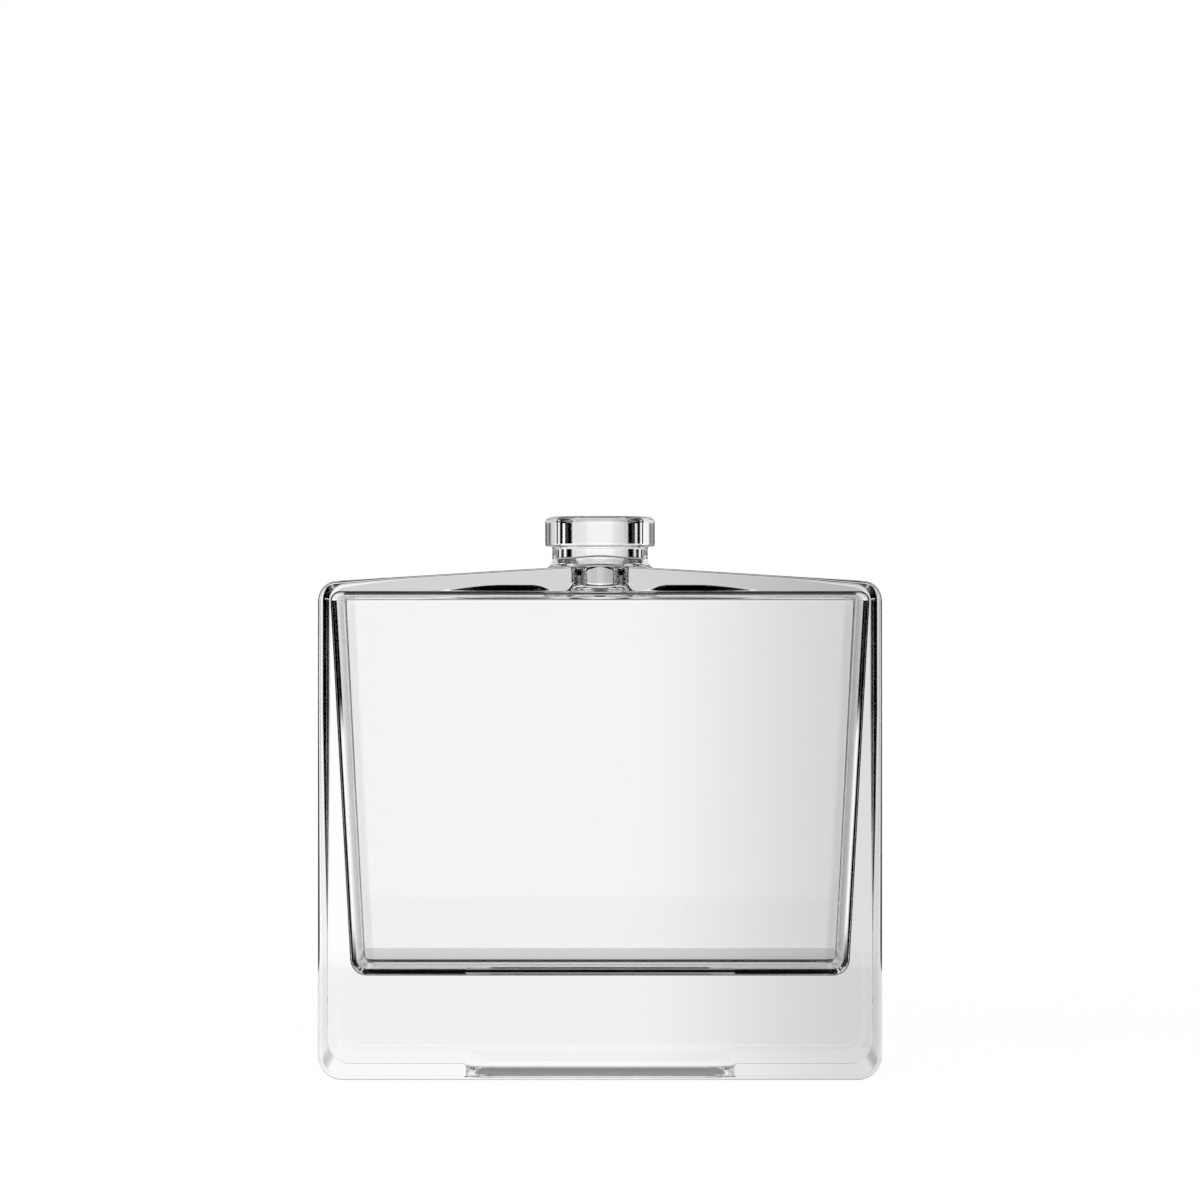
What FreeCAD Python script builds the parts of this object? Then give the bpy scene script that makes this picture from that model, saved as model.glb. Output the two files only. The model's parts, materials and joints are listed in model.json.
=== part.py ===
import FreeCAD, Part
import os

import Sketcher

# A flat rectangular flacon of clear moulded glass: a heavy base, a tapered
# cavity, shoulders that slope up to the middle, and an open crimp neck.
# Front faces -Y, +Z is up, and the origin is the centre of the base plane.

# Driving dimensions in millimetres, with what each one measures. A value that
# begins with an equals sign follows from the others.
SIZES = [
    ("body_width", "75", "outside width of the body, along X"),
    ("body_depth", "24.6", "outside depth of the body, along Y"),
    ("total_height", "75.1", "base plane to the rim"),
    ("neck_height", "6.6", "where the shoulders meet, up to the rim"),
    ("ridge_height", "=total_height - neck_height", "base plane to where the shoulders meet"),
    ("shoulder_drop", "2.3", "fall of a shoulder from the middle to its sharp outer end"),
    ("shoulder_height", "=ridge_height - shoulder_drop", "base plane to a shoulder's outer end"),
    ("roof_thickness", "1.2", "cavity ceiling up to a shoulder's outer end"),
    ("ceiling_height", "=shoulder_height - roof_thickness", "base plane to the cavity ceiling"),
    ("ridge_radius", "40", "rounding of the line where the shoulders meet"),
    ("base_corner_radius", "3.2", "lower corners of the front outline"),
    ("shoulder_corner_radius", "2.6", "upper corners of the front outline"),
    ("edge_radius", "0.6", "edge round the front and back faces"),
    ("neck_diameter", "13.05", "neck below the collar"),
    ("neck_root_radius", "1.5", "fillet from neck to shoulder"),
    ("collar_diameter", "15", "crimp collar"),
    ("collar_height", "4.05", "crimp collar, underside to rim"),
    ("collar_edge_radius", "0.35", "lower edge of the collar"),
    ("collar_root_radius", "0.3", "inner corner under the collar"),
    ("lip_radius", "0.7", "outer edge of the rim"),
    ("bore_diameter", "7.8", "bore of the neck"),
    ("mouth_radius", "0.9", "inner edge of the rim"),
    ("bore_root_radius", "3.2", "edge from the bore to the cavity ceiling"),
    ("base_thickness", "13.5", "solid glass under the cavity"),
    ("side_wall_base", "4.15", "side wall at the cavity floor"),
    ("side_wall_top", "1.35", "side wall at the cavity ceiling"),
    ("face_wall_base", "3.8", "front and back wall at the cavity floor"),
    ("face_wall_top", "3", "front and back wall at the cavity ceiling"),
    ("cavity_corner_radius", "2.4", "upright edges of the cavity"),
    ("cavity_floor_radius", "2.2", "edge round the cavity floor"),
    ("cavity_ceiling_radius", "1.3", "edge round the cavity ceiling"),
    ("recess_length", "36.8", "hollow under the base, along X"),
    ("recess_breadth", "8.6", "hollow under the base, along Y"),
    ("recess_corner_radius", "4.2", "plan corners of the hollow under the base"),
    ("recess_depth", "1.1", "hollow under the base"),
    ("recess_vault_radius", "1", "edge round the flat top of the hollow"),
]

doc = FreeCAD.newDocument("flacon")
sheet = doc.addObject("Spreadsheet::Sheet", "sizes")
for row, (alias, value, meaning) in enumerate(SIZES, start=1):
    sheet.set(f"A{row}", meaning)
    sheet.set(f"B{row}", value)
    sheet.setAlias(f"B{row}", alias)
doc.recompute()

body = doc.addObject("PartDesign::Body", "glass_bottle")
body.Label = "glass_bottle"


def origin_feature(role):
    """The plane or axis of the body's own origin that has this role."""
    return next(item for item in body.Origin.OriginFeatures if item.Role == role)


def new_sketch(name, role):
    """An empty sketch on one of the body's origin planes."""
    sketch = body.newObject("Sketcher::SketchObject", name)
    sketch.AttachmentSupport = [(origin_feature(role), "")]
    sketch.MapMode = "FlatFace"
    return sketch


START, END, CENTRE = range(1, 4)
X_AXIS, Y_AXIS = range(-1, -3, -1)
ORIGIN = (X_AXIS, START)


def add_polygon(sketch, corners):
    """A closed chain of lines through the corners, joined end to end."""
    first = sketch.GeometryCount
    count = len(corners)
    for index, corner in enumerate(corners):
        after = corners[(index + 1) % count]
        line = Part.LineSegment(FreeCAD.Vector(*corner, 0), FreeCAD.Vector(*after, 0))
        sketch.addGeometry(line, False)
    for index in range(count):
        after = first + (index + 1) % count
        sketch.addConstraint(Sketcher.Constraint("Coincident", first + index, END, after, START))
    return first


def drive(sketch, name, kind, *where_and_value, size):
    """A named sketch dimension bound to an expression of the sheet's sizes."""
    index = sketch.addConstraint(Sketcher.Constraint(kind, *where_and_value))
    sketch.renameConstraint(index, name)
    sketch.setExpression("Constraints." + name, size)


def tie(sketch, kind, *where):
    """A sketch constraint that has no dimension."""
    sketch.addConstraint(Sketcher.Constraint(kind, *where))


def number(alias):
    """The present value of one size."""
    return float(sheet.get(alias))


def edges_where(feature, test):
    """Names of the feature's edges whose shape passes the test."""
    edges = feature.Shape.Edges
    return [f"Edge{index}" for index, edge in enumerate(edges, start=1) if test(edge)]


def round_edges(name, test, size):
    """A fillet on the present tip's edges that pass the test."""
    doc.recompute()
    base = body.Tip
    fillet = body.newObject("PartDesign::Fillet", name)
    fillet.Base = (base, edges_where(base, test))
    fillet.setExpression("Radius", size)
    doc.recompute()
    return fillet


# How close counts as the same place: for exact edges, and for curves where two
# surfaces cross.
NEAR = 1e-4
NEAR_CROSSING = 1e-2


def middle(edge):
    """The point half way along an edge."""
    first, last = edge.ParameterRange
    return edge.valueAt((first + last) / 2)


ALONG_Y = FreeCAD.Vector(0, 1, 0)


def runs_along_y(edge):
    """True for a straight edge from front to back."""
    return isinstance(edge.Curve, Part.Line) and edge.Curve.Direction.cross(ALONG_Y).Length < NEAR


def lies_at_height(edge, height):
    """True where the whole edge is in one level plane."""
    box = edge.BoundBox
    return abs(box.ZMin - height) < NEAR and abs(box.ZMax - height) < NEAR


def is_ring(edge, radius, height):
    """True for a full circle round the neck's axis."""
    if not isinstance(edge.Curve, Part.Circle) or not lies_at_height(edge, height):
        return False
    return abs(edge.Curve.Radius - radius) < NEAR


# Front outline: base, two sides, and two shoulders that meet on the axis.
outline = new_sketch("front_outline", "XZ_Plane")
half = number("body_width") / 2
shoulder = number("shoulder_height")
ridge = number("ridge_height")
add_polygon(outline, [(-half, 0), (half, 0), (half, shoulder), (0, ridge), (-half, shoulder)])
BASE, RIGHT_SIDE, RIGHT_SHOULDER, LEFT_SHOULDER, LEFT_SIDE = range(5)
tie(outline, "Vertical", RIGHT_SIDE)
tie(outline, "Vertical", LEFT_SIDE)
tie(outline, "PointOnObject", BASE, START, X_AXIS)
tie(outline, "Symmetric", BASE, START, BASE, END, Y_AXIS)
tie(outline, "Horizontal", RIGHT_SIDE, END, LEFT_SIDE, START)
tie(outline, "PointOnObject", RIGHT_SHOULDER, END, Y_AXIS)
drive(outline, "width", "DistanceX", BASE, START, BASE, END, 2 * half, size="sizes.body_width")
drive(outline, "side", "DistanceY", RIGHT_SIDE, START, RIGHT_SIDE, END, shoulder,
      size="sizes.shoulder_height")
drive(outline, "ridge", "DistanceY", *ORIGIN, RIGHT_SHOULDER, END, ridge, size="sizes.ridge_height")

block = body.newObject("PartDesign::Pad", "body_block")
block.Profile = outline
block.SideType = "Symmetric"
block.setExpression("Length", "sizes.body_depth")
doc.recompute()

face_plane = number("body_depth") / 2


def is_base_corner(edge):
    """True for the two lower corners of the front outline."""
    return runs_along_y(edge) and abs(middle(edge).z) < NEAR


def is_shoulder_corner(edge):
    """True for the two upper corners of the front outline."""
    return runs_along_y(edge) and abs(middle(edge).z - shoulder) < NEAR


def is_ridge(edge):
    """True for the line where the shoulders meet."""
    return runs_along_y(edge) and abs(middle(edge).x) < NEAR


def is_face_edge(edge):
    """True for the edges round the front and back faces."""
    return edge.BoundBox.YLength < NEAR and abs(abs(middle(edge).y) - face_plane) < NEAR


round_edges("base_corners", is_base_corner, "sizes.base_corner_radius")
round_edges("shoulder_corners", is_shoulder_corner, "sizes.shoulder_corner_radius")
round_edges("shoulder_ridge", is_ridge, "sizes.ridge_radius")
round_edges("face_edges", is_face_edge, "sizes.edge_radius")

# Neck and crimp collar, turned about the axis.
neck = new_sketch("neck_profile", "XZ_Plane")
neck_radius = number("neck_diameter") / 2
collar_radius = number("collar_diameter") / 2
rim = number("total_height")
underside = rim - number("collar_height")
inside = number("ceiling_height")
add_polygon(neck, [(0, inside), (neck_radius, inside), (neck_radius, underside),
                   (collar_radius, underside), (collar_radius, rim), (0, rim)])
FLOOR, NECK_WALL, UNDERSIDE, COLLAR_WALL, RIM, AXIS = range(6)
for level in (FLOOR, UNDERSIDE, RIM):
    tie(neck, "Horizontal", level)
for upright in (NECK_WALL, COLLAR_WALL):
    tie(neck, "Vertical", upright)
tie(neck, "PointOnObject", FLOOR, START, Y_AXIS)
tie(neck, "PointOnObject", RIM, END, Y_AXIS)
drive(neck, "root", "DistanceY", *ORIGIN, FLOOR, START, inside, size="sizes.ceiling_height")
drive(neck, "neck", "DistanceX", FLOOR, START, FLOOR, END, neck_radius, size="sizes.neck_diameter / 2")
drive(neck, "collar", "DistanceX", RIM, END, RIM, START, collar_radius, size="sizes.collar_diameter / 2")
drive(neck, "bead", "DistanceY", COLLAR_WALL, START, COLLAR_WALL, END, rim - underside,
      size="sizes.collar_height")
drive(neck, "rim", "DistanceY", *ORIGIN, RIM, END, rim, size="sizes.total_height")

finish = body.newObject("PartDesign::Revolution", "crimp_neck")
finish.Profile = neck
finish.ReferenceAxis = (neck, ["V_Axis"])
doc.recompute()


def is_neck_root(edge):
    """True for the curve where the neck comes out of the shoulders."""
    point = middle(edge)
    from_axis = FreeCAD.Vector(point.x, point.y, 0).Length
    on_neck = abs(from_axis - neck_radius) < NEAR_CROSSING
    return on_neck and shoulder < point.z < underside - NEAR and not isinstance(edge.Curve, Part.Line)


round_edges("neck_root", is_neck_root, "sizes.neck_root_radius")
round_edges("collar_root", lambda edge: is_ring(edge, neck_radius, underside), "sizes.collar_root_radius")
round_edges("collar_edge", lambda edge: is_ring(edge, collar_radius, underside), "sizes.collar_edge_radius")
round_edges("lip", lambda edge: is_ring(edge, collar_radius, rim), "sizes.lip_radius")


def level_rectangle(name, height_size, width_size, depth_size):
    """A level rectangle centred on the axis, at a height above the base plane."""
    sketch = new_sketch(name, "XY_Plane")
    sketch.setExpression("AttachmentOffset.Base.z", height_size)
    half_x, half_y = number("body_width") / 4, number("body_depth") / 4
    add_polygon(sketch, [(-half_x, -half_y), (half_x, -half_y), (half_x, half_y), (-half_x, half_y)])
    front, right, back, left = range(4)
    for level in (front, back):
        tie(sketch, "Horizontal", level)
    for upright in (right, left):
        tie(sketch, "Vertical", upright)
    tie(sketch, "Symmetric", front, START, back, START, *ORIGIN)
    drive(sketch, "width", "DistanceX", front, START, front, END, 2 * half_x, size=width_size)
    drive(sketch, "depth", "DistanceY", right, START, right, END, 2 * half_y, size=depth_size)
    return sketch


def cavity_section(name, height_size, side_wall, face_wall):
    """One end of the tapered cavity, set in from the body by its walls."""
    return level_rectangle(name, height_size, f"sizes.body_width - 2 * sizes.{side_wall}",
                           f"sizes.body_depth - 2 * sizes.{face_wall}")


floor_section = cavity_section("cavity_floor", "sizes.base_thickness", "side_wall_base", "face_wall_base")
ceiling_section = cavity_section("cavity_ceiling", "sizes.ceiling_height", "side_wall_top", "face_wall_top")
doc.recompute()
before = body.Shape.Volume
cavity = body.newObject("PartDesign::SubtractiveLoft", "cavity")
cavity.Profile = floor_section
cavity.Sections = [ceiling_section]
cavity.Ruled = True
doc.recompute()
print("cavity", round((before - body.Shape.Volume) / 1000, 1), "ml")

floor_level = number("base_thickness")
ceiling_level = number("ceiling_height")


def is_cavity_upright(edge):
    """True for the four sloping upright edges of the cavity."""
    box = edge.BoundBox
    return abs(box.ZMin - floor_level) < NEAR and abs(box.ZMax - ceiling_level) < NEAR


round_edges("cavity_corners", is_cavity_upright, "sizes.cavity_corner_radius")
round_edges("cavity_floor_edge", lambda edge: lies_at_height(edge, floor_level), "sizes.cavity_floor_radius")
round_edges("cavity_ceiling_edge", lambda edge: lies_at_height(edge, ceiling_level),
            "sizes.cavity_ceiling_radius")

# Bore from the rim into the cavity, eased at both ends.
circle = new_sketch("bore_circle", "XY_Plane")
circle.setExpression("AttachmentOffset.Base.z", "sizes.total_height")
bore_radius = number("bore_diameter") / 2
circle.addGeometry(Part.Circle(FreeCAD.Vector(0, 0, 0), FreeCAD.Vector(0, 0, 1), bore_radius), False)
tie(circle, "Coincident", 0, CENTRE, *ORIGIN)
drive(circle, "bore", "Diameter", 0, 2 * bore_radius, size="sizes.bore_diameter")
doc.recompute()
before = body.Shape.Volume
bore = body.newObject("PartDesign::Pocket", "bore")
bore.Profile = circle
bore.setExpression("Length", "sizes.total_height - sizes.ceiling_height + sizes.cavity_ceiling_radius")
doc.recompute()
print("bore", round((before - body.Shape.Volume) / 1000, 2), "ml")

round_edges("bore_root", lambda edge: is_ring(edge, bore_radius, ceiling_level), "sizes.bore_root_radius")
round_edges("mouth", lambda edge: is_ring(edge, bore_radius, rim), "sizes.mouth_radius")

# Shallow hollow under the base, with a flat top and a vaulted edge.
hollow_outline = level_rectangle("recess_outline", "0", "sizes.recess_length", "sizes.recess_breadth")
doc.recompute()
before = body.Shape.Volume
hollow = body.newObject("PartDesign::Pocket", "base_recess")
hollow.Profile = hollow_outline
hollow.Reversed = True
hollow.setExpression("Length", "sizes.recess_depth")
doc.recompute()
print("recess", round((before - body.Shape.Volume) / 1000, 3), "ml")
recess_top = number("recess_depth")
recess_half = number("recess_length") / 2


def is_recess_corner(edge):
    """True for the four upright edges of the hollow."""
    return abs(abs(middle(edge).x) - recess_half) < NEAR and abs(edge.BoundBox.ZLength - recess_top) < NEAR


def is_recess_ceiling(edge):
    """True for the edges round the flat top of the hollow."""
    return lies_at_height(edge, recess_top) and edge.BoundBox.XMax < recess_half + NEAR


round_edges("recess_corners", is_recess_corner, "sizes.recess_corner_radius")
round_edges("recess_vault", is_recess_ceiling, "sizes.recess_vault_radius")

for item in doc.Objects:
    if "Invalid" in item.State or "Error" in item.State:
        raise RuntimeError(f"{item.Name} failed: {item.State}")
shape = body.Shape
if shape.isNull() or not shape.isValid() or len(shape.Solids) != 1:
    raise RuntimeError("the bottle is not one valid solid")
print("glass", round(shape.Volume / 1000, 1), "ml, box", shape.BoundBox)
os.makedirs("parts", exist_ok=True)
shape.exportStep(f"parts/{body.Label}.step")
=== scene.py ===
import json
import math

import bpy
import numpy as np
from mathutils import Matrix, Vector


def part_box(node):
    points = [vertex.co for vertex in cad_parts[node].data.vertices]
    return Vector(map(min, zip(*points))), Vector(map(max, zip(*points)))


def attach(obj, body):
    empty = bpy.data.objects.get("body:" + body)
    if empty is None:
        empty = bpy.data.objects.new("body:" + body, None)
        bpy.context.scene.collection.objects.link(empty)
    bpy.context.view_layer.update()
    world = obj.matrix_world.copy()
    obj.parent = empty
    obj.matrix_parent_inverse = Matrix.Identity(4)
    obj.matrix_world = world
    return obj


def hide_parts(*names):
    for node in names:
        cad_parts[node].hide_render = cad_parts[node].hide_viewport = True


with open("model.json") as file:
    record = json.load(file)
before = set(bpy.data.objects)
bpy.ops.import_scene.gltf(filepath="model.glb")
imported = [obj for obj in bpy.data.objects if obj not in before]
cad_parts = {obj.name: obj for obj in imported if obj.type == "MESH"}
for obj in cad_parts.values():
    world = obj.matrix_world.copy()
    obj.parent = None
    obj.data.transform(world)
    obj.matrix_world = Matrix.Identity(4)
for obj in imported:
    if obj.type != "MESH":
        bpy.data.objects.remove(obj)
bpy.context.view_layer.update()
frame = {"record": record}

# A flat rectangular flacon of clear moulded glass, empty and open, on a white sweep.
# Front faces -Y, +Z is up, and the origin is the centre of the base.

MM = 0.001

# What the frame gives: the overall box and the two radii of the neck's mounts.
MOUNTS = {mount["name"]: mount for mount in frame["record"]["mounts"]}
BOX_LOW, BOX_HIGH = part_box("glass_bottle")
HALF_WIDTH = (BOX_HIGH.x - BOX_LOW.x) / 2
HALF_DEPTH = (BOX_HIGH.y - BOX_LOW.y) / 2
RIM = BOX_HIGH.z
BORE_RADIUS = MOUNTS["neck_bore"]["dims"]["r_mm"] * MM
COLLAR_RADIUS = MOUNTS["crimp_collar"]["dims"]["r_mm"] * MM

# Body.
SHOULDER_END = 66.2 * MM
RIDGE = 68.5 * MM
RIDGE_RADIUS = 40 * MM
BASE_CORNER = 3.2 * MM
SHOULDER_CORNER = 2.6 * MM

# Round edges of the front and back faces, by place.
EDGE_ROOM = 0.85 * MM
FRONT_EDGE = 0.4 * MM
BACK_EDGE = 0.8 * MM
ROOF_EDGE = 0.15 * MM
ROOF_TAPER = 9 * MM
FRONT_HEEL = 0.7 * MM
BACK_HEEL = 0.03 * MM
HEEL_TOP = 14 * MM
EDGE_TOP = 48 * MM

# Neck and crimp collar.
NECK_RADIUS = 6.525 * MM
NECK_ROOT = 1.5 * MM
COLLAR_HEIGHT = 4.05 * MM
COLLAR_EDGE = 0.35 * MM
COLLAR_ROOT = 0.3 * MM
LIP = 0.7 * MM
MOUTH = 0.9 * MM
BORE_ROOT = 1.2 * MM

# Cavity: a box that widens upwards, rounded on every edge, with a low crown in its ceiling.
FLOOR = 13.5 * MM
CEILING = 65 * MM
SIDE_WALL_BASE = 4.15 * MM
SIDE_WALL_TOP = 1.35 * MM
FACE_WALL_BASE = 3.8 * MM
FACE_WALL_TOP = 3 * MM
CAVITY_CORNER = 2.4 * MM
FLOOR_EDGE = 2.2 * MM
CEILING_EDGE = 1.3 * MM
CROWN = 0.9 * MM
CROWN_START = 9 * MM
CROWN_END = 13 * MM
CROWN_STOP = 25 * MM

# Hollow under the base.
RECESS_HALF_LENGTH = 18.4 * MM
RECESS_HALF_BREADTH = 4.3 * MM
RECESS_CORNER = 4.2 * MM
RECESS_DEPTH = 1.1 * MM
RECESS_VAULT = 0.15 * MM

# Grid counts.
LOOP_QUARTER = 56
FLAT_SHARE = 0.5
CORNER_STEPS = 16
ARC_STEPS = 12
CEILING_STEPS = 30
RUN_STEPS = 4
EDGE_STEPS = 10

QUARTER_TURN = math.pi / 2

# Front outline of the body, and half the breadth of the patch under the neck.
SLOPE = math.atan((RIDGE - SHOULDER_END) / HALF_WIDTH)
RIDGE_CENTRE = RIDGE - RIDGE_RADIUS / math.cos(SLOPE)
RIDGE_REACH = RIDGE_RADIUS * math.sin(SLOPE)
SHOULDER_X = HALF_WIDTH - SHOULDER_CORNER
SHOULDER_Z = RIDGE - math.tan(SLOPE) * SHOULDER_X - SHOULDER_CORNER / math.cos(SLOPE)
FLAT_BASE = HALF_WIDTH - BASE_CORNER
STRAIGHT_DEPTH = HALF_DEPTH - EDGE_ROOM
NECK_PATCH = 12 * MM


def roof(x):
    """Height and slope of the shoulders at x: two straight slopes that meet in
    a round ridge, a circle of the ridge radius tangent to both."""
    near = np.abs(x) < RIDGE_REACH
    crown = np.sqrt(np.maximum(RIDGE_RADIUS ** 2 - x ** 2, 0))
    height = np.where(near, RIDGE_CENTRE + crown, RIDGE - math.tan(SLOPE) * np.abs(x))
    fall = np.where(near, -x / np.maximum(crown, EDGE_ROOM), -math.tan(SLOPE) * np.sign(x))
    return height, fall


def arc(centre, radius, start, stop, steps):
    """Points and outward directions along a circle's arc, the last one left out."""
    angle = np.linspace(start, stop, steps, endpoint=False)
    away = np.stack([np.cos(angle), np.sin(angle)], axis=1)
    return np.array(centre) + radius * away, away


def run(start, stop, away, steps):
    """Points along a straight stretch with one outward direction, the last one
    left out."""
    share = np.linspace(0, 1, steps, endpoint=False)[:, None]
    points = np.array(start) * (1 - share) + np.array(stop) * share
    return points, np.broadcast_to(np.array(away, dtype=float), points.shape)


def roof_run(start, stop, steps):
    """Points along the roof line between two places, with its upward normal."""
    x = np.linspace(start, stop, steps, endpoint=False)
    height, fall = roof(x)
    away = np.stack([-fall, np.ones_like(fall)], axis=1)
    away /= np.linalg.norm(away, axis=1, keepdims=True)
    return np.stack([x, height], axis=1), away


def front_outline():
    """The closed front outline, x and z with outward directions, anticlockwise
    from the left end of the flat base: base, corner, side, corner, shoulder,
    the stretch under the neck, and the same back down on the left."""
    tip = SHOULDER_X + SHOULDER_CORNER * math.sin(SLOPE)
    pieces = [
        run((-FLAT_BASE, 0), (FLAT_BASE, 0), (0, -1), LOOP_QUARTER),
        arc((FLAT_BASE, BASE_CORNER), BASE_CORNER, -QUARTER_TURN, 0, CORNER_STEPS),
        run((HALF_WIDTH, BASE_CORNER), (HALF_WIDTH, SHOULDER_Z), (1, 0), RUN_STEPS),
        arc((SHOULDER_X, SHOULDER_Z), SHOULDER_CORNER, 0, QUARTER_TURN - SLOPE, CORNER_STEPS),
        roof_run(tip, NECK_PATCH, RUN_STEPS),
        roof_run(NECK_PATCH, -NECK_PATCH, LOOP_QUARTER),
        roof_run(-NECK_PATCH, -tip, RUN_STEPS),
        arc((-SHOULDER_X, SHOULDER_Z), SHOULDER_CORNER, QUARTER_TURN + SLOPE, math.pi, CORNER_STEPS),
        run((-HALF_WIDTH, SHOULDER_Z), (-HALF_WIDTH, BASE_CORNER), (-1, 0), RUN_STEPS),
        arc((-FLAT_BASE, BASE_CORNER), BASE_CORNER, math.pi, 3 * QUARTER_TURN, CORNER_STEPS),
    ]
    points = np.concatenate([piece[0] for piece in pieces])
    away = np.concatenate([piece[1] for piece in pieces])
    return np.vstack([points, points[:1]]), np.vstack([away, away[:1]])


OUTLINE, OUTLINE_AWAY = front_outline()
SIDE_STEPS = 2 * CORNER_STEPS + 2 * RUN_STEPS
RIGHT_SIDE = slice(LOOP_QUARTER, LOOP_QUARTER + SIDE_STEPS + 1)
LEFT_SIDE = slice(2 * LOOP_QUARTER + SIDE_STEPS, 2 * LOOP_QUARTER + 2 * SIDE_STEPS + 1)


def join(x, y, z):
    """One array of points from coordinate arrays of any shapes that broadcast."""
    return np.stack(np.broadcast_arrays(x, y, z), axis=-1).astype(float)


def ease(value, start, stop):
    """A smooth step from 0 to 1 between start and stop, and its slope."""
    share = np.clip((value - start) / (stop - start), 0, 1)
    return share ** 2 * (3 - 2 * share), 6 * share * (1 - share) / (stop - start)


def edge_radius(side):
    """Radius of the edge of the front (-1) or back (1) face along the outline:
    full at the shoulder corners, tighter along the shoulders, and with a radius
    of its own round the heel, with smooth changes between."""
    across, up = np.abs(OUTLINE[:, :1]), OUTLINE[:, 1:]
    inward = ease(SHOULDER_X - across, 0, ROOF_TAPER)[0] * (up > SHOULDER_Z)
    full, heel = (FRONT_EDGE, FRONT_HEEL) if side < 0 else (BACK_EDGE, BACK_HEEL)
    radius = full + (ROOF_EDGE - full) * inward
    return heel + (radius - heel) * ease(up, HEEL_TOP, EDGE_TOP)[0]


def face_edge(side):
    """The rounded edge of the front (-1) or back (1) face: a quarter circle of
    the edge radius carried round the front outline, after a short straight run."""
    turn = np.linspace(0, QUARTER_TURN, EDGE_STEPS + 1)[None, :]
    radius = edge_radius(side)
    depth = np.hstack([np.full_like(radius, STRAIGHT_DEPTH), HALF_DEPTH - radius * (1 - np.sin(turn))])
    turn = np.hstack([[[0]], turn])
    inset = radius * (1 - np.cos(turn))
    points = join(OUTLINE[:, :1] - inset * OUTLINE_AWAY[:, :1], side * depth,
                  OUTLINE[:, 1:] - inset * OUTLINE_AWAY[:, 1:])
    normals = join(np.cos(turn) * OUTLINE_AWAY[:, :1], side * np.sin(turn),
                   np.cos(turn) * OUTLINE_AWAY[:, 1:])
    return points, normals


def side_band(stretch):
    """A stretch of the outline carried straight from front to back."""
    y = np.linspace(-STRAIGHT_DEPTH, STRAIGHT_DEPTH, LOOP_QUARTER + 1)[None, :]
    points = join(OUTLINE[stretch, :1], y, OUTLINE[stretch, 1:])
    normals = join(OUTLINE_AWAY[stretch, :1], 0 * y, OUTLINE_AWAY[stretch, 1:])
    return points, normals


def face_panel(side):
    """The flat front (-1) or back (1) face inside its rounded edge."""
    inside = (OUTLINE - edge_radius(side) * OUTLINE_AWAY)[:-1]
    return join(inside[:, 0], side * HALF_DEPTH, inside[:, 1]), (0, side, 0)


def square_loop(half_x, half_y):
    """A rectangle's outline in plan as one closed loop, anticlockwise from the
    front right corner, with a quarter of the steps on each side."""
    along = np.linspace(-1, 1, LOOP_QUARTER, endpoint=False)
    one = np.ones_like(along)
    x = np.concatenate([one, -along, -one, along]) * half_x
    y = np.concatenate([along, one, -along, -one]) * half_y
    return np.stack([x, y], axis=1)


LOOP_ANGLE = np.arctan2(*square_loop(1, 1).T[::-1])
LOOP_AWAY = np.stack([np.cos(LOOP_ANGLE), np.sin(LOOP_ANGLE)], axis=1)


def round_loop(half_x, half_y, corner):
    """A rectangle with round corners in plan, index for index with the square
    loop: the flat share of each side's steps goes to its straight stretch, and
    the rest to the two half corners at its ends."""
    along = np.linspace(-1, 1, LOOP_QUARTER, endpoint=False)
    past_flat = np.clip((np.abs(along) - FLAT_SHARE) / (1 - FLAT_SHARE), 0, 1)
    bend = past_flat * np.sign(along) * QUARTER_TURN / 2
    flat = np.clip(along / FLAT_SHARE, -1, 1)
    angle = np.concatenate([bend + turn * QUARTER_TURN for turn in range(4)])
    one = np.ones_like(flat)
    corner_x = np.concatenate([one, -flat, -one, flat])
    corner_y = np.concatenate([flat, one, -flat, -one])
    x = corner_x * (half_x - corner) + corner * np.cos(angle)
    y = corner_y * (half_y - corner) + corner * np.sin(angle)
    return x, y, angle


def closed(points, normals):
    """A grid of loops with the first point of each loop repeated at its end."""
    return tuple(np.concatenate([part, part[:, :1]], axis=1) for part in (points, normals))


def neck_shoulder():
    """The roof round the neck: loops that go from a rectangle of the shoulder
    to the circle where the neck's root fillet meets the roof."""
    reach = NECK_RADIUS + NECK_ROOT
    share = np.linspace(0, 1, ARC_STEPS + 1)[:, None, None]
    slope = root_slope()
    circle = LOOP_AWAY * (reach + NECK_ROOT * np.sin(np.arctan(slope)))[:, None]
    plan = square_loop(NECK_PATCH, STRAIGHT_DEPTH)[None] * (1 - share) + circle[None] * share
    height, fall = roof(plan[..., 0])
    normals = join(-fall, 0, 1)
    normals /= np.linalg.norm(normals, axis=-1, keepdims=True)
    return closed(join(plan[..., 0], plan[..., 1], height), normals)


def root_slope():
    """Slope of the roof along each direction out of the neck, at the fillet."""
    x = (NECK_RADIUS + NECK_ROOT) * LOOP_AWAY[:, 0]
    return roof(x)[1] * LOOP_AWAY[:, 0]


def root_centre():
    """Height of the root fillet's centre in each direction out of the neck."""
    x = (NECK_RADIUS + NECK_ROOT) * LOOP_AWAY[:, 0]
    return roof(x)[0] + NECK_ROOT * np.sqrt(1 + root_slope() ** 2)


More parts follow.
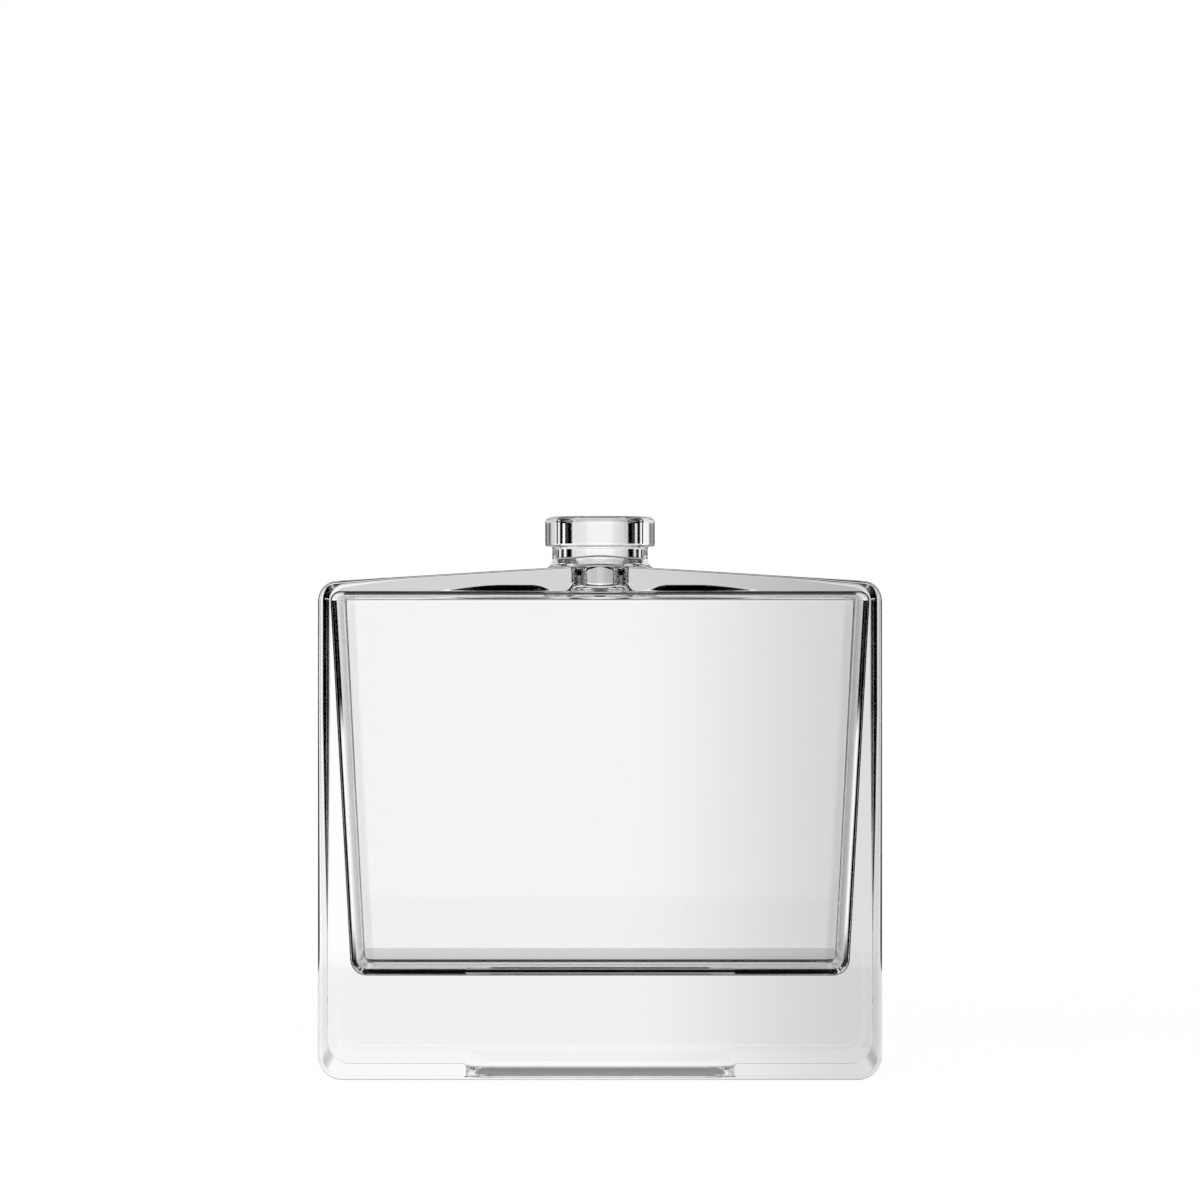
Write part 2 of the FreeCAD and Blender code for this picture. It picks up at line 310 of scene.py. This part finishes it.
def neck_root():
    """The fillet from shoulder to neck: in each direction a quarter circle that
    touches the sloping roof and the upright neck."""
    lowest = -QUARTER_TURN + np.arctan(root_slope())
    share = np.linspace(0, 1, ARC_STEPS + 1)[:, None]
    turn = lowest * (1 - share) - math.pi * share
    radius = NECK_RADIUS + NECK_ROOT * (1 + np.cos(turn))
    height = root_centre() + NECK_ROOT * np.sin(turn)
    normals = join(-np.cos(turn) * LOOP_AWAY[:, 0], -np.cos(turn) * LOOP_AWAY[:, 1], -np.sin(turn))
    return closed(join(radius * LOOP_AWAY[:, 0], radius * LOOP_AWAY[:, 1], height), normals)


def turned(radius, height, out, up):
    """A profile of radii and heights, with its normals, turned about the axis."""
    profile = (radius, height, out, up)
    radius, height, out, up = (np.asarray(part, dtype=float)[:, None] for part in profile)
    points = join(radius * LOOP_AWAY[:, 0], radius * LOOP_AWAY[:, 1], height)
    return closed(points, join(out * LOOP_AWAY[:, 0], out * LOOP_AWAY[:, 1], up))


def turned_arc(centre_radius, centre_height, bend, start, stop, facing):
    """A quarter circle turned about the axis. Facing is 1 where glass fills the
    circle's side of it, and -1 in a hollow corner."""
    angle = np.linspace(start, stop, ARC_STEPS + 1)
    return turned(centre_radius + bend * np.cos(angle), centre_height + bend * np.sin(angle),
                  facing * np.cos(angle), facing * np.sin(angle))


def turned_run(start, stop, out, up):
    """A straight stretch of profile turned about the axis."""
    share = np.linspace(0, 1, RUN_STEPS + 1)
    radius = start[0] * (1 - share) + stop[0] * share
    height = start[1] * (1 - share) + stop[1] * share
    return turned(radius, height, out + 0 * share, up + 0 * share)


def neck_wall():
    """The upright neck between its root fillet and the corner under the collar."""
    share = np.linspace(0, 1, RUN_STEPS + 1)[:, None]
    height = root_centre() * (1 - share) + (RIM - COLLAR_HEIGHT - COLLAR_ROOT) * share
    points = join(NECK_RADIUS * LOOP_AWAY[:, 0], NECK_RADIUS * LOOP_AWAY[:, 1], height)
    return closed(points, join(LOOP_AWAY[:, 0], LOOP_AWAY[:, 1], 0 * height))


def crimp_finish():
    """Collar, rim, mouth and bore, from under the collar to the cavity ceiling."""
    under = RIM - COLLAR_HEIGHT
    quarter, half, three = QUARTER_TURN, 2 * QUARTER_TURN, 3 * QUARTER_TURN
    collar_in = COLLAR_RADIUS - COLLAR_EDGE
    lip_in = COLLAR_RADIUS - LIP
    return [
        turned_arc(NECK_RADIUS + COLLAR_ROOT, under - COLLAR_ROOT, COLLAR_ROOT, half, quarter, -1),
        turned_run((NECK_RADIUS + COLLAR_ROOT, under), (collar_in, under), 0, -1),
        turned_arc(collar_in, under + COLLAR_EDGE, COLLAR_EDGE, -quarter, 0, 1),
        turned_run((COLLAR_RADIUS, under + COLLAR_EDGE), (COLLAR_RADIUS, RIM - LIP), 1, 0),
        turned_arc(lip_in, RIM - LIP, LIP, 0, quarter, 1),
        turned_run((lip_in, RIM), (BORE_RADIUS + MOUTH, RIM), 0, 1),
        turned_arc(BORE_RADIUS + MOUTH, RIM - MOUTH, MOUTH, quarter, half, 1),
        turned_run((BORE_RADIUS, RIM - MOUTH), (BORE_RADIUS, CEILING + BORE_ROOT), -1, 0),
        turned_arc(BORE_RADIUS + BORE_ROOT, CEILING + BORE_ROOT, BORE_ROOT, half, three, 1),
    ]


# Cavity walls lean outwards as they rise.
CAVITY_HEIGHT = CEILING - FLOOR
SIDE_LEAN = math.atan((SIDE_WALL_BASE - SIDE_WALL_TOP) / CAVITY_HEIGHT)
FACE_LEAN = math.atan((FACE_WALL_BASE - FACE_WALL_TOP) / CAVITY_HEIGHT)


def cavity_half(height):
    """Half width and half depth of the sharp-edged cavity at a height."""
    rise = height - FLOOR
    half_x = HALF_WIDTH - SIDE_WALL_BASE + rise * math.tan(SIDE_LEAN)
    half_y = HALF_DEPTH - FACE_WALL_BASE + rise * math.tan(FACE_LEAN)
    return half_x, half_y


def cavity_lean(angle):
    """Lean of the wall that faces each direction, from side to face walls."""
    return SIDE_LEAN * np.cos(angle) ** 2 + FACE_LEAN * np.sin(angle) ** 2


def cavity_edge(ball_height, radius, level):
    """The round edge between the walls and the ceiling (level 1) or the floor
    (level -1): a ball of the edge radius rolled round inside the cavity."""
    half_x, half_y = cavity_half(ball_height)
    centre_x = half_x - radius / math.cos(SIDE_LEAN)
    centre_y = half_y - radius / math.cos(FACE_LEAN)
    loop_x, loop_y, angle = round_loop(centre_x + radius, centre_y + radius, CAVITY_CORNER)
    lean = cavity_lean(angle)
    share = np.linspace(0, 1, ARC_STEPS + 1)[:, None]
    turn = level * QUARTER_TURN * share - lean * (1 - share)
    inset = radius * (1 - np.cos(turn))
    points = join(loop_x - inset * np.cos(angle), loop_y - inset * np.sin(angle),
                  ball_height + radius * np.sin(turn))
    normals = -join(np.cos(turn) * np.cos(angle), np.cos(turn) * np.sin(angle), np.sin(turn))
    return closed(points, normals), points


def between(first, last, normals, steps):
    """Loops that go straight from one loop to another."""
    share = np.linspace(0, 1, steps + 1)[:, None, None]
    points = first[None] * (1 - share) + last[None] * share
    return closed(points, np.broadcast_to(normals, points.shape))


def crowned(points, half_y):
    """A level ceiling raised into a low barrel: across it a hump that is level
    at both edges, and along it a rise past the neck that dies out at the ends."""
    x, y = np.abs(points[..., 0]), points[..., 1] / half_y
    hump = np.maximum(1 - y ** 2, 0)
    rise, rise_slope = ease(x, BORE_RADIUS + BORE_ROOT, CROWN_START)
    fall, fall_slope = ease(x, CROWN_END, CROWN_STOP)
    along = rise * (1 - fall)
    slope_x = CROWN * hump ** 2 * (rise_slope * (1 - fall) - rise * fall_slope) * np.sign(points[..., 0])
    slope_y = CROWN * along * 2 * hump * -2 * y / half_y
    normals = join(slope_x, slope_y, -1)
    lift = join(0, 0, CROWN * along * hump ** 2)
    return points + lift, normals / np.linalg.norm(normals, axis=-1, keepdims=True)


def cavity():
    """Ceiling, walls and floor of the cavity."""
    ceiling_edge, ceiling_loops = cavity_edge(CEILING - CEILING_EDGE, CEILING_EDGE, 1)
    floor_edge, floor_loops = cavity_edge(FLOOR + FLOOR_EDGE, FLOOR_EDGE, -1)
    mouth = (BORE_RADIUS + BORE_ROOT) * LOOP_AWAY
    mouth_loop = join(mouth[:, 0], mouth[:, 1], CEILING)
    level_ceiling = between(mouth_loop, ceiling_loops[-1], (0, 0, -1), CEILING_STEPS)[0]
    ceiling = crowned(level_ceiling, np.abs(ceiling_loops[-1][:, 1]).max())
    angle = round_loop(1, 1, 1)[2]
    lean = cavity_lean(angle)
    wall_normals = join(-np.cos(lean) * np.cos(angle), -np.cos(lean) * np.sin(angle), np.sin(lean))
    walls = between(ceiling_loops[0], floor_loops[0], wall_normals, RUN_STEPS)
    return [ceiling, ceiling_edge, walls, floor_edge], (floor_loops[-1], (0, 0, 1))


def recess():
    """Flat base round the hollow, its short upright wall, vault and flat top."""
    base_loop = square_loop(FLAT_BASE, STRAIGHT_DEPTH)
    base_loop = join(base_loop[:, 0], base_loop[:, 1], 0)
    loop_x, loop_y, angle = round_loop(RECESS_HALF_LENGTH, RECESS_HALF_BREADTH, RECESS_CORNER)
    rim_loop = join(loop_x, loop_y, 0)
    base = between(base_loop, rim_loop, (0, 0, -1), ARC_STEPS)
    wall_top = RECESS_DEPTH - RECESS_VAULT
    wall = between(rim_loop, rim_loop + (0, 0, wall_top), join(-np.cos(angle), -np.sin(angle), 0), 1)
    turn = np.linspace(0, QUARTER_TURN, ARC_STEPS + 1)[:, None]
    inset = RECESS_VAULT * (1 - np.cos(turn))
    vault = join(loop_x - inset * np.cos(angle), loop_y - inset * np.sin(angle),
                 wall_top + RECESS_VAULT * np.sin(turn))
    normals = -join(np.cos(turn) * np.cos(angle), np.cos(turn) * np.sin(angle), np.sin(turn))
    return [base, wall, closed(vault, normals)], (vault[-1], (0, 0, -1))


# Points closer than this are one point.
WELD = 1e-8


def grid_faces(points, normals, first):
    """Corner indices and corner normals of a grid's quads, turned so that they
    face the way the normals do."""
    rows, columns = points.shape[:2]
    index = first + np.arange(rows * columns).reshape(rows, columns)
    quads = np.stack([index[:-1, :-1], index[1:, :-1], index[1:, 1:], index[:-1, 1:]], axis=-1)
    quads = quads.reshape(-1, 4)
    corners = points.reshape(-1, 3)[quads - first]
    facing = np.cross(corners[:, 2] - corners[:, 0], corners[:, 3] - corners[:, 1])
    agree = np.einsum("ij,ij->", facing, normals.reshape(-1, 3)[quads[:, 0] - first])
    if agree < 0:
        quads = quads[:, ::-1]
    return quads, normals.reshape(-1, 3)[quads - first]


def panel_face(points, normal, first):
    """Corner indices and normals of one flat many-sided face."""
    index = first + np.arange(len(points))
    middle = points.mean(axis=0)
    facing = np.cross(points - middle, np.roll(points, -1, axis=0) - middle).sum(axis=0)
    if facing @ np.array(normal) < 0:
        index = index[::-1]
    return index, np.broadcast_to(np.array(normal, dtype=float), points.shape)


def weld_mesh(name, grids, panels):
    """One closed mesh from grids and flat panels: equal points are joined, and
    every corner keeps the exact normal of its own surface."""
    points, corners, normals, totals = [], [], [], []
    first = 0
    for grid_points, grid_normals in grids:
        quads, quad_normals = grid_faces(grid_points, grid_normals, first)
        points.append(grid_points.reshape(-1, 3))
        corners.append(quads.ravel())
        normals.append(quad_normals.reshape(-1, 3))
        totals.append(np.full(len(quads), 4))
        first += grid_points.shape[0] * grid_points.shape[1]
    for panel_points, panel_normal in panels:
        index, panel_normals = panel_face(panel_points, panel_normal, first)
        points.append(panel_points)
        corners.append(index)
        normals.append(panel_normals)
        totals.append(np.array([len(index)]))
        first += len(panel_points)
    points, corners, normals, totals = map(np.concatenate, (points, corners, normals, totals))
    _, kept, joined = np.unique(np.round(points / WELD).astype(np.int64), axis=0,
                                return_index=True, return_inverse=True)
    mesh = bpy.data.meshes.new(name)
    mesh.vertices.add(len(kept))
    mesh.vertices.foreach_set("co", points[kept].ravel())
    mesh.loops.add(len(corners))
    mesh.loops.foreach_set("vertex_index", joined.ravel()[corners].astype(np.int32))
    mesh.polygons.add(len(totals))
    mesh.polygons.foreach_set("loop_start", (np.cumsum(totals) - totals).astype(np.int32))
    mesh.polygons.foreach_set("loop_total", totals.astype(np.int32))
    mesh.update(calc_edges=True)
    mesh.polygons.foreach_set("use_smooth", np.ones(len(totals), dtype=bool))
    mesh.normals_split_custom_set(normals.tolist())
    return mesh


def bottle_mesh():
    """All surfaces of the bottle, outside and inside, as one closed mesh."""
    cavity_grids, floor_panel = cavity()
    recess_grids, recess_panel = recess()
    grids = [face_edge(-1), face_edge(1), side_band(RIGHT_SIDE), side_band(LEFT_SIDE)]
    grids += [neck_shoulder(), neck_root(), neck_wall()]
    grids += crimp_finish()
    grids += cavity_grids
    grids += recess_grids
    panels = [face_panel(-1), face_panel(1), floor_panel, recess_panel]
    return weld_mesh("flacon", grids, panels)


def new_material(name):
    """An empty node material and its tree's nodes and links."""
    material = bpy.data.materials.new(name)
    material.use_nodes = True
    tree = material.node_tree
    tree.nodes.clear()
    return material, tree.nodes, tree.links


# Glass: its index, bounces of light in it, its cords, and the two tints that they mix.
GLASS_IOR = 1.52
GLASS_BOUNCES = 40
CORD_STRETCH = (1, 1, 0.25)
CORD_SCALE = 160
CORD_DETAIL = 2
CLEAR_MELT = (1, 1, 1, 1)
CORD_MELT = (0.984, 0.986, 0.986, 1)


def flint_glass():
    """Clear flint glass with faint upright cords, a hint of grey-green in the
    melt that comes and goes."""
    material, nodes, links = new_material("flint_glass")
    place = nodes.new("ShaderNodeTexCoord")
    stretch = nodes.new("ShaderNodeMapping")
    stretch.inputs["Scale"].default_value = CORD_STRETCH
    links.new(place.outputs["Object"], stretch.inputs["Vector"])
    cords = nodes.new("ShaderNodeTexNoise")
    cords.inputs["Scale"].default_value = CORD_SCALE
    cords.inputs["Detail"].default_value = CORD_DETAIL
    links.new(stretch.outputs["Vector"], cords.inputs["Vector"])
    tint = nodes.new("ShaderNodeMix")
    tint.data_type = "RGBA"
    tint.inputs["A"].default_value = CLEAR_MELT
    tint.inputs["B"].default_value = CORD_MELT
    links.new(cords.outputs["Fac"], tint.inputs["Factor"])
    shader = nodes.new("ShaderNodeBsdfPrincipled")
    links.new(tint.outputs["Result"], shader.inputs["Base Color"])
    shader.inputs["Roughness"].default_value = 0
    shader.inputs["IOR"].default_value = GLASS_IOR
    shader.inputs["Transmission Weight"].default_value = 1
    output = nodes.new("ShaderNodeOutputMaterial")
    links.new(shader.outputs["BSDF"], output.inputs["Surface"])
    return material


bottle = bpy.data.objects.new("flacon", bottle_mesh())
bpy.context.scene.collection.objects.link(bottle)
bottle.data.materials.append(flint_glass())
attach(bottle, "root")
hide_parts("glass_bottle")


# Stage: a pale floor in front of a plain backdrop.
WHITE = (1, 1, 1, 1)
FLOOR_REACH = 3.0
FLOOR_DROP = 0.05 * MM
FLOOR_GLOW = 0.94
FLOOR_MATT = 0.2
# Level of the painted shadow under the bottle: a dim glow that only the glass sees, through the hollow
# in the base.
UNDERSIDE_PAINTED_SHADOW = 0.27

# What the glass sees, by direction: degrees off straight back and above level.
CLEAR_LIGHT = 1.085
CLEAR_TOP = 40
CLEAR_LOW = -40
BACK_END = 10
BACK_LIGHT = 0.9
BACK_TOP = 12
BACK_LOW = -12
SKY_LOW = 2.6
SKY_TOP = 30
HIGH_START = 40
HIGH_TOP = 62
SIDE_START = 66
SIDE_STOP = 130
SIDE_LOW = -10
SIDE_TOP = -6.1
MIDDLE_START = 30
MIDDLE_STOP = 44
MIDDLE_LOW = 0.3
TOP_START = 60
TOP_LIGHT = 0.1
SOFT = 3
CRISP = 0.4
FIRST_MIRROR = 0.5

# Flags that dim clear light: start and stop off straight back, lowest height, and level.
FLAGS = [(10, 36, -90, 0.88), (54, 80, 0.3, 0.25)]

# Levels of the surroundings: on the floor behind the bottle, above it, and far off level.
HORIZON = -6.08
FLOOR_LIGHT = 0.965
HARD = 0.05
ABOVE = 5
ABOVE_LIGHT = 1.1
STEEP_START = 9.5
STEEP_STOP = 12.5
STEEP_LIGHT = 0.76

# Painted shade on a clear sheet close behind the bottle, seen only by the glass: its place, and where
# and how far it dims.
SHADE_SHEET_BACK = 40 * MM
SHADE_SHEET_REACH = 300 * MM
PAINTED_SHADE_START = 2 * MM
PAINTED_SHADE_STOP = 40 * MM
PAINTED_SHADE_RIGHT = 0.73
BAND_LOW = 65.2 * MM
BAND_TOP = 69.2 * MM
BAND_BLUR = 0.4 * MM
PAINTED_BAND_SHADE = 0.66
LOW_START = 9.5 * MM
LOW_STOP = 11 * MM
PAINTED_LOW_SHADE = 0.92


class NodeMaths:
    """Short ways to add maths nodes to one node tree."""

    def __init__(self, tree):
        self.nodes, self.links = tree.nodes, tree.links

    def feed(self, socket, value):
        """Link a socket to the value, or set it to a plain number."""
        if isinstance(value, (int, float)):
            socket.default_value = value
        else:
            self.links.new(value, socket)

    def maths(self, operation, *values):
        """One maths node's result."""
        node = self.nodes.new("ShaderNodeMath")
        node.operation = operation
        for socket, value in zip(node.inputs, values):
            self.feed(socket, value)
        return node.outputs[0]

    def fade(self, value, start, stop, before=1.0, after=0.0):
        """A smooth change from before to after while the value goes from start to stop."""
        node = self.nodes.new("ShaderNodeMapRange")
        node.interpolation_type = "SMOOTHSTEP"
        settings = {"From Min": start, "From Max": stop, "To Min": before, "To Max": after}
        for name, number in settings.items():
            node.inputs[name].default_value = number
        self.feed(node.inputs["Value"], value)
        return node.outputs[0]

    def blend(self, share, one, other):
        """One value where the share is 1, and the other where it is 0."""
        rest = self.maths("SUBTRACT", 1.0, share)
        return self.maths("ADD", self.maths("MULTIPLY", share, one), self.maths("MULTIPLY", rest, other))

    def place(self, kind):
        """The three coordinates of a place or a direction, of the named kind."""
        source = self.nodes.new("ShaderNodeTexCoord")
        split = self.nodes.new("ShaderNodeSeparateXYZ")
        self.links.new(source.outputs[kind], split.inputs[0])
        return tuple(split.outputs)


SQUARE = [(-1, -1), (1, -1), (1, 1), (-1, 1)]


def stage_sheet(name, corners, material):
    """One flat sheet between four corners, with its material."""
    mesh = bpy.data.meshes.new(name)
    mesh.from_pydata(corners, [], [range(len(corners))])
    mesh.materials.append(material)
    sheet = bpy.data.objects.new(name, mesh)
    bpy.context.scene.collection.objects.link(sheet)
    return sheet


def sweep_material():
    """White floor: mostly even light, with a matt share that takes the bottle's
    real shadow. The glass looks through it to the surroundings, but for a
    painted shadow under the bottle: a dim glowing patch that shows through
    the hollow in the base in place of the shade beneath the bottle."""
    material, nodes, links = new_material("white_sweep")
    sums = NodeMaths(material.node_tree)

    def glow(strength):
        shader = nodes.new("ShaderNodeEmission")
        shader.inputs["Color"].default_value = WHITE
        shader.inputs["Strength"].default_value = strength
        return shader.outputs["Emission"]

    def choose(share, first, second):
        shader = nodes.new("ShaderNodeMixShader")
        links.new(share, shader.inputs["Fac"])
        links.new(first, shader.inputs[1])
        links.new(second, shader.inputs[2])
        return shader.outputs[0]

    matt = nodes.new("ShaderNodeBsdfDiffuse")
    matt.inputs["Color"].default_value = (FLOOR_MATT, FLOOR_MATT, FLOOR_MATT, 1)
    both = nodes.new("ShaderNodeAddShader")
    links.new(glow(FLOOR_GLOW), both.inputs[0])
    links.new(matt.outputs["BSDF"], both.inputs[1])
    x, y, _ = sums.place("Object")
    # Painted shadow: a dim patch on the floor under the hollow in the base, seen only through the glass,
    # in place of the shade beneath the bottle.
    under_width = sums.maths("LESS_THAN", sums.maths("ABSOLUTE", x), RECESS_HALF_LENGTH)
    under_depth = sums.maths("LESS_THAN", sums.maths("ABSOLUTE", y), RECESS_HALF_BREADTH)
    painted_shadow_patch = sums.maths("MULTIPLY", under_width, under_depth)
    clear = nodes.new("ShaderNodeBsdfTransparent")
    through_glass = choose(painted_shadow_patch, clear.outputs["BSDF"], glow(UNDERSIDE_PAINTED_SHADOW))
    path = nodes.new("ShaderNodeLightPath")
    output = nodes.new("ShaderNodeOutputMaterial")
    seen = choose(path.outputs["Is Camera Ray"], through_glass, both.outputs[0])
    links.new(seen, output.inputs["Surface"])
    return material


floor_corners = [(FLOOR_REACH * across, FLOOR_REACH * along, 0) for across, along in SQUARE]
floor = stage_sheet("floor", floor_corners, sweep_material())
floor.location.z = -FLOOR_DROP


def painted_shade_sheet_material():
    """Painted shade for the glass alone, nothing to the eye: a clear sheet dimmer
    towards the right, in a band behind the shoulders and low down behind the base."""
    material, nodes, links = new_material("painted_shade_sheet")
    sums = NodeMaths(material.node_tree)
    across, _, up = sums.place("Object")
    # Painted shade: darker towards the right, in a band at the shoulders' height, and low down behind
    # the base.
    level = sums.fade(across, PAINTED_SHADE_START, PAINTED_SHADE_STOP, 1.0, PAINTED_SHADE_RIGHT)
    over_band = sums.fade(up, BAND_TOP, BAND_TOP + BAND_BLUR, PAINTED_BAND_SHADE, 1.0)
    under_band = sums.fade(up, BAND_LOW - BAND_BLUR, BAND_LOW, 1.0, 0.0)
    level = sums.maths("MULTIPLY", level, sums.maths("MAXIMUM", over_band, under_band))
    level = sums.maths("MULTIPLY", level, sums.fade(up, LOW_START, LOW_STOP, PAINTED_LOW_SHADE, 1.0))
    path = nodes.new("ShaderNodeLightPath")
    level = sums.maths("MAXIMUM", level, path.outputs["Is Camera Ray"])
    clear = nodes.new("ShaderNodeBsdfTransparent")
    links.new(level, clear.inputs["Color"])
    output = nodes.new("ShaderNodeOutputMaterial")
    links.new(clear.outputs["BSDF"], output.inputs["Surface"])
    return material


# A clear sheet of painted shade behind the bottle, seen only by the glass.
painted_shade_sheet_corners = [(SHADE_SHEET_REACH * across, SHADE_SHEET_BACK, SHADE_SHEET_REACH * up) for across, up in SQUARE]
painted_shade_sheet = stage_sheet("painted_shade_sheet", painted_shade_sheet_corners, painted_shade_sheet_material())


def studio_world():
    """White to the eye, and pale through clear glass in every direction that is
    not steep. Light that the glass has mirrored comes from a bright backdrop,
    the sky above level and panels at the sides, with dark gaps between them."""
    world = bpy.data.worlds.new("studio")
    world.use_nodes = True
    nodes, links = world.node_tree.nodes, world.node_tree.links
    nodes.clear()
    sums = NodeMaths(world.node_tree)
    x, y, z = sums.place("Generated")
    away = sums.maths("DEGREES", sums.maths("ABSOLUTE", sums.maths("ARCTAN2", x, y)))
    height = sums.maths("DEGREES", sums.maths("ARCSINE", z))

    def window(value, start, stop, blur=SOFT):
        rise = sums.fade(value, start - blur, start + blur, 0.0, 1.0)
        return sums.maths("MULTIPLY", rise, sums.fade(value, stop - blur, stop + blur))

    clear = window(height, CLEAR_LOW, CLEAR_TOP)
    for start, stop, low, level in FLAGS:
        flag = sums.maths("MULTIPLY", window(away, start, stop), 1 - level)
        flag = sums.maths("MULTIPLY", flag, sums.fade(height, low - HARD, low + HARD, 0.0, 1.0))
        clear = sums.maths("MULTIPLY", clear, sums.maths("SUBTRACT", 1.0, flag))
    back = sums.maths("MULTIPLY", sums.fade(away, BACK_END - SOFT, BACK_END + SOFT, BACK_LIGHT),
                      window(height, BACK_LOW, BACK_TOP))
    off_back = sums.fade(away, BACK_END - SOFT, BACK_END + SOFT, 0.0, 1.0)
    sky = sums.maths("MULTIPLY", off_back, window(height, SKY_LOW, SKY_TOP, CRISP))
    high = sums.maths("MULTIPLY", sums.fade(away, HIGH_START - SOFT, HIGH_START + SOFT, 0.0, 1.0),
                      window(height, SKY_LOW, HIGH_TOP, CRISP))
    side = sums.maths("MULTIPLY", window(away, SIDE_START, SIDE_STOP),
                      window(height, SIDE_LOW, SIDE_TOP, CRISP))
    middle = sums.maths("MULTIPLY", window(away, MIDDLE_START, MIDDLE_STOP, CRISP),
                        window(height, MIDDLE_LOW, SKY_LOW, HARD))
    mirrored = sums.fade(height, TOP_START - SOFT, TOP_START + SOFT, 0.0, TOP_LIGHT)
    for part in (back, sky, high, side, middle):
        mirrored = sums.maths("MAXIMUM", mirrored, part)
    path = nodes.new("ShaderNodeLightPath")
    was_mirrored = sums.maths("GREATER_THAN", path.outputs["Glossy Depth"], FIRST_MIRROR)
    light = sums.blend(was_mirrored, mirrored, clear)
    levels = [
        sums.fade(height, HORIZON - HARD, HORIZON + HARD, FLOOR_LIGHT, 1.0),
        sums.fade(height, ABOVE - CRISP, ABOVE + CRISP, 1.0, ABOVE_LIGHT),
        sums.fade(sums.maths("ABSOLUTE", height), STEEP_START, STEEP_STOP, 1.0, STEEP_LIGHT),
        CLEAR_LIGHT,
    ]
    for level in levels:
        light = sums.maths("MULTIPLY", light, level)
    strength = sums.blend(path.outputs["Is Camera Ray"], 1.0, light)
    shine = nodes.new("ShaderNodeBackground")
    shine.inputs["Color"].default_value = WHITE
    links.new(strength, shine.inputs["Strength"])
    output = nodes.new("ShaderNodeOutputWorld")
    links.new(shine.outputs[0], output.inputs["Surface"])
    return world


scene = bpy.context.scene
scene.world = studio_world()
scene.view_settings.view_transform = "Standard"
scene.cycles.max_bounces = GLASS_BOUNCES
scene.cycles.transmission_bounces = GLASS_BOUNCES
scene.cycles.glossy_bounces = GLASS_BOUNCES

# Camera: level, square to the front, at the height of the shoulders.
EYE_HEIGHT = 63.8 * MM
EYE_DISTANCE = 450 * MM
SENSOR_WIDTH = 36
LENS = 98.9
camera_data = bpy.data.cameras.new("camera")
camera_data.sensor_width = SENSOR_WIDTH
camera_data.lens = LENS
camera = bpy.data.objects.new("camera", camera_data)
camera.location = (0, -EYE_DISTANCE, EYE_HEIGHT)
camera.rotation_euler = (QUARTER_TURN, 0, 0)
scene.collection.objects.link(camera)
scene.camera = camera
